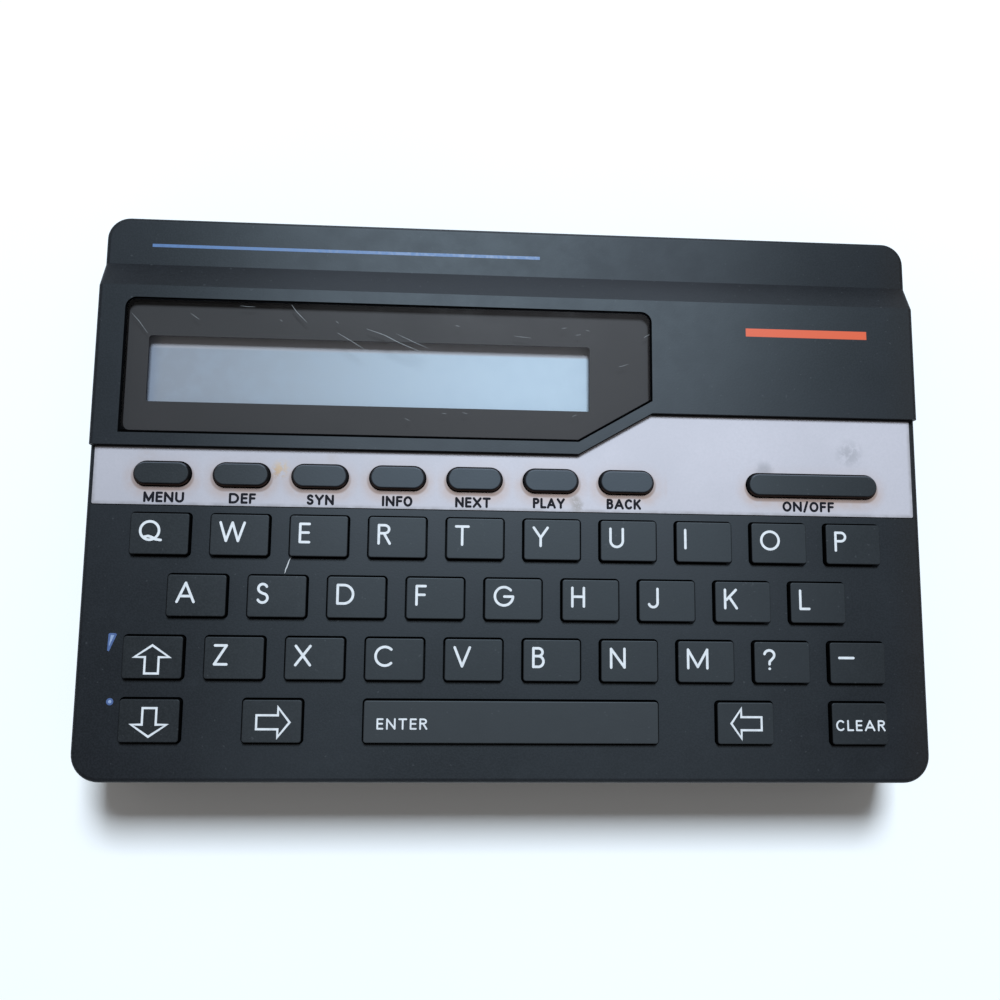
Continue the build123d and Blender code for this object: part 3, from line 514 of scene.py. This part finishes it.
def write(V, F, text, x, y, cap, pen, z, gap=0.16, centre=False, squeeze=1.0):
    """Text with its left (or centre) at x and its baseline at y, millimetres."""
    f = [(1.0 if cap > 2 else SMALL.get(c, 1.12)) * squeeze for c in text]
    gap *= squeeze
    width = sum(GLYPH[c][0] * q + gap for c, q in zip(text, f)) - gap
    cx = x - (width * cap / 2 if centre else 0)
    for ch, q in zip(text, f):
        adv, strokes = GLYPH[ch]
        loops = []
        for s in strokes:
            ring = isinstance(s, tuple)
            lo, hi = (-0.05, 1.05) if ch == "/" else (0.068, 0.932)
            pts = [(cx + p[0] * cap * q, y + min(max(p[1], lo), hi) * cap) for p in (s[1] if ring else s)]
            if ring:
                pts.append(pts[0])
            loops += [outline(k, pen / 2) for k in pieces(pts)]
        fuse(V, F, loops, z - 0.005, z + 0.012)
        cx += (adv * q + gap) * cap


def slab(V, F, poly, z0, z1):
    """A closed flat plate over a convex outline."""
    base, n = len(V), len(poly)
    for z in (z0, z1):
        V.extend((p[0], p[1], z) for p in poly)
    F.append(tuple(base + n + i for i in range(n)))
    F.append(tuple(base + i for i in reversed(range(n))))
    for i in range(n):
        j = (i + 1) % n
        F.append((base + i, base + j, base + n + j, base + n + i))


Z_DECK, Z_KEY, Z_STRIP, Z_REAR = 18.0, 19.0, 18.2, 16.7
PX = 12.7
ROW = {"q": -7.5, "a": -17.32, "z": -27.13, "b": -36.95}
KW, KD = 9.28, 6.62
CAP, PEN = 3.48, 0.41


def legend(node, text, kx, ky, dx=1.36, drop=1.10, cap=CAP, pen=PEN):
    V, F = [], []
    write(V, F, text, kx - KW / 2 + dx, ky + KD / 2 - drop - cap, cap, pen, Z_KEY)
    return mesh("legend_" + node[4:], V, F, white, node)


for i, k in enumerate("qwertyuiop"):
    legend("key_" + k, k.upper(), (i - 4.5) * PX, ROW["q"], dx=1.2 if k in "i" else 1.36)
for i, k in enumerate("asdfghjkl"):
    legend("key_" + k, k.upper(), (i - 4.0) * PX, ROW["a"])
for i, k in enumerate("zxcvbnm"):
    legend("key_" + k, k.upper(), (i - 3.5) * PX, ROW["z"])
legend("key_question", "?", 3.5 * PX, ROW["z"])
legend("key_dash", "-", 4.5 * PX, ROW["z"], dx=1.2)

V, F = [], []
write(V, F, "ENTER", -21.65, -38.15, 1.74, 0.27, Z_KEY, 0.27)
mesh("legend_enter", V, F, white, "key_enter")
V, F = [], []
write(V, F, "CLEAR", 53.15, -38.10, 1.74, 0.28, Z_KEY, 0.25)
mesh("legend_clear", V, F, white, "key_clear")


def arrow(node, cx, cy, ang, length=4.4, head=1.85, wing=2.72, stem=1.07, pen=0.34):
    """Hollow outlined arrow, drawn pointing up and then turned."""
    a = length / 2
    pts = [(0, a), (wing, a - head), (stem, a - head), (stem, -a), (-stem, -a), (-stem, a - head), (-wing, a - head)]
    ca, sa = math.cos(math.radians(ang)), math.sin(math.radians(ang))
    pts = [(cx + p[0] * ca - p[1] * sa, cy + p[0] * sa + p[1] * ca) for p in pts]
    V, F = [], []
    ribbon(V, F, pts, pen, Z_KEY - 0.005, Z_KEY + 0.012, closed=True)
    return mesh("legend_" + node[4:], V, F, white, node)


arrow("key_up", -57.2, -27.45, 0)
arrow("key_down", -57.1, -37.2, 180)
arrow("key_right", -37.9, -37.10, -90, 5.2, 1.85, 2.30, 1.08)
arrow("key_left", 38.2, -37.0, 90, 5.0, 1.65, 2.35, 1.04)

# function labels printed on the strip
V, F = [], []
for text, cx, top, squeeze in (
    ("MENU", -56.98, -0.66, 1.0), ("DEF", -44.43, -0.66, 1.0), ("SYN", -31.8, -0.66, 0.94), ("INFO", -19.27, -0.66, 0.96),
    ("NEXT", -6.8, -0.64, 0.93), ("PLAY", 5.85, -0.55, 0.84), ("BACK", 18.43, -0.48, 0.89), ("ON/OFF", 49.95, -0.36, 1.03),
):
    write(V, F, text, cx, top - 1.60, 1.60, 0.40, Z_STRIP, 0.23, centre=True, squeeze=squeeze)
mesh("labels_strip", V, F, ink, "case")

# shift marks printed beside the arrow keys
V, F = [], []
slab(V, F, [(-64.42, -23.55), (-64.50, -26.15), (-64.22, -26.30), (-63.12, -23.60), (-63.35, -23.42), (-64.2, -23.40)], Z_DECK - 0.005, Z_DECK + 0.006)
mesh("mark_apostrophe_edge", V, F, blue, "case")
V, F = [], []
slab(V, F, [(-64.05, -23.72), (-64.28, -25.55), (-63.50, -23.72)], Z_DECK - 0.004, Z_DECK + 0.011)
mesh("mark_apostrophe", V, F, pale, "case")
for nm, r, z1, mt in (("mark_dot_edge", 0.56, 0.006, blue), ("mark_dot", 0.26, 0.011, pale)):
    V, F = [], []
    slab(V, F, [(-63.6 + r * math.cos(t * math.pi / 12), -34.12 + r * math.sin(t * math.pi / 12)) for t in range(24)], Z_DECK - 0.005, Z_DECK + z1)
    mesh(nm, V, F, mt, "case")

# plain coloured rules where such an object carries its trim: no lettering
V, F = [], []
ribbon(V, F, [(-61.6, 41.7), (4.3, 41.7)], 0.55, Z_REAR - 0.005, Z_REAR + 0.012)
mesh("rule_blue", V, F, rule_blue, "case")

# --------------------------------------------------------- scratches and scuffs


def scratches(name, lines, z, mat, body="case"):
    V, F = [], []
    for w, *pts in lines:
        dense = []
        for a, b in zip(pts[:-1], pts[1:]):
            for k in range(6):
                t = k / 6
                wob = 0.02 * math.sin(7 * t + a[0])
                dense.append((a[0] + (b[0] - a[0]) * t + wob, a[1] + (b[1] - a[1]) * t - wob))
        dense.append(pts[-1])
        ribbon(V, F, dense, w, z - 0.004, z + 0.003, taper=True)
    return mesh(name, V, F, mat, body)


scratches("scratch_deck", [(0.20, (-36.25, -10.9), (-36.75, -12.2), (-37.15, -13.55))], Z_DECK, scratch)
scratches("scratch_window_bright", [
    (0.10, (-37.6, 31.2), (-36.6, 29.9), (-34.9, 28.2)),
    (0.12, (-25.0, 27.4), (-22.0, 26.4), (-19.6, 25.2), (-15.4, 23.5)),
    (0.09, (-29.9, 26.6), (-27.6, 25.3), (-25.2, 23.8)),
    (0.07, (-63.6, 29.0), (-62.3, 27.6), (-60.8, 25.6)),
    (0.08, (-20.0, 26.7), (-17.2, 25.4), (-14.6, 24.3)),
], 19.19, scratch_dim)
scratches("scratch_window_fine", [
    (0.07, (17.5, 22.0), (19.2, 22.5)), (0.07, (21.9, 27.2), (22.9, 27.9)), (0.06, (-0.3, 26.9), (2.6, 26.6)),
    (0.06, (7.8, 28.4), (8.7, 28.6)), (0.06, (-10.2, 28.4), (-9.4, 28.3)), (0.06, (10.2, 27.3), (11.1, 27.5)),
    (0.06, (-18.3, 12.3), (-17.5, 11.9)), (0.06, (-12.2, 13.3), (-11.4, 13.2)), (0.06, (9.6, 13.2), (10.4, 13.6)),
    (0.06, (-8.8, 13.5), (-7.9, 13.3)), (0.06, (-54.0, 29.2), (-52.6, 28.2)), (0.06, (-30.2, 28.6), (-29.6, 28.2)),
    (0.06, (-39.4, 28.6), (-38.9, 28.2)), (0.06, (-46.0, 30.7), (-43.5, 30.6)), (0.06, (12.0, 28.3), (12.6, 28.1)),
], 19.19, scratch_dim)

# ------------------------------------------------------------ floor, light, camera
me = bpy.data.meshes.new("floor")
me.from_pydata([(-3, -3, 0), (3, -3, 0), (3, 3, 0), (-3, 3, 0)], [], [(0, 1, 2, 3)])
floor = bpy.data.objects.new("floor", me)
bpy.context.scene.collection.objects.link(floor)
g = G("floor_white")
g.l(g.mix(g.step(g.noise(6, 2), 0.3, 0.7), (0.90, 0.90, 0.90), (0.93, 0.93, 0.93)), g.b.inputs["Base Color"])
g.set(Roughness=0.9)
me.materials.append(g.m)

w = bpy.data.worlds.new("studio")
bpy.context.scene.world = w
w.use_nodes = True
w.node_tree.nodes["Background"].inputs[0].default_value = (1.0, 0.985, 0.965, 1)
w.node_tree.nodes["Background"].inputs[1].default_value = 0.215


def area(name, loc, target, size, size_y, power, col):
    d = bpy.data.lights.new(name, "AREA")
    d.shape = "RECTANGLE"
    d.size, d.size_y, d.energy, d.color = size, size_y, power, col
    o = bpy.data.objects.new(name, d)
    bpy.context.scene.collection.objects.link(o)
    o.location = loc
    o.rotation_euler = (Vector(target) - Vector(loc)).to_track_quat("-Z", "Y").to_euler()
    return o


area("overhead_softbox", (0.09, 0.90, 1.5), (0.0, 0.03, 0), 0.46, 0.50, 39.0, (0.79, 0.90, 1.0))

cam = bpy.data.cameras.new("camera")
co = bpy.data.objects.new("camera", cam)
bpy.context.scene.collection.objects.link(co)
cam.sensor_fit = "HORIZONTAL"
cam.sensor_width = 36.0
cam.lens = 36.0 * 0.98638
cam.clip_start = 0.01
rx, ry, rz = 0.13561, -0.06344, 0.01438
ang = math.sqrt(rx * rx + ry * ry + rz * rz)
rot = Matrix.Rotation(ang, 4, Vector((rx, ry, rz)))
co.matrix_world = Matrix.Translation((-0.01254, -0.02241, 0.18005)) @ rot
cam.shift_x = 0.00034
cam.shift_y = -0.00431
bpy.context.scene.camera = co
bpy.context.scene.view_settings.view_transform = "Standard"
bpy.context.scene.view_settings.look = "None"
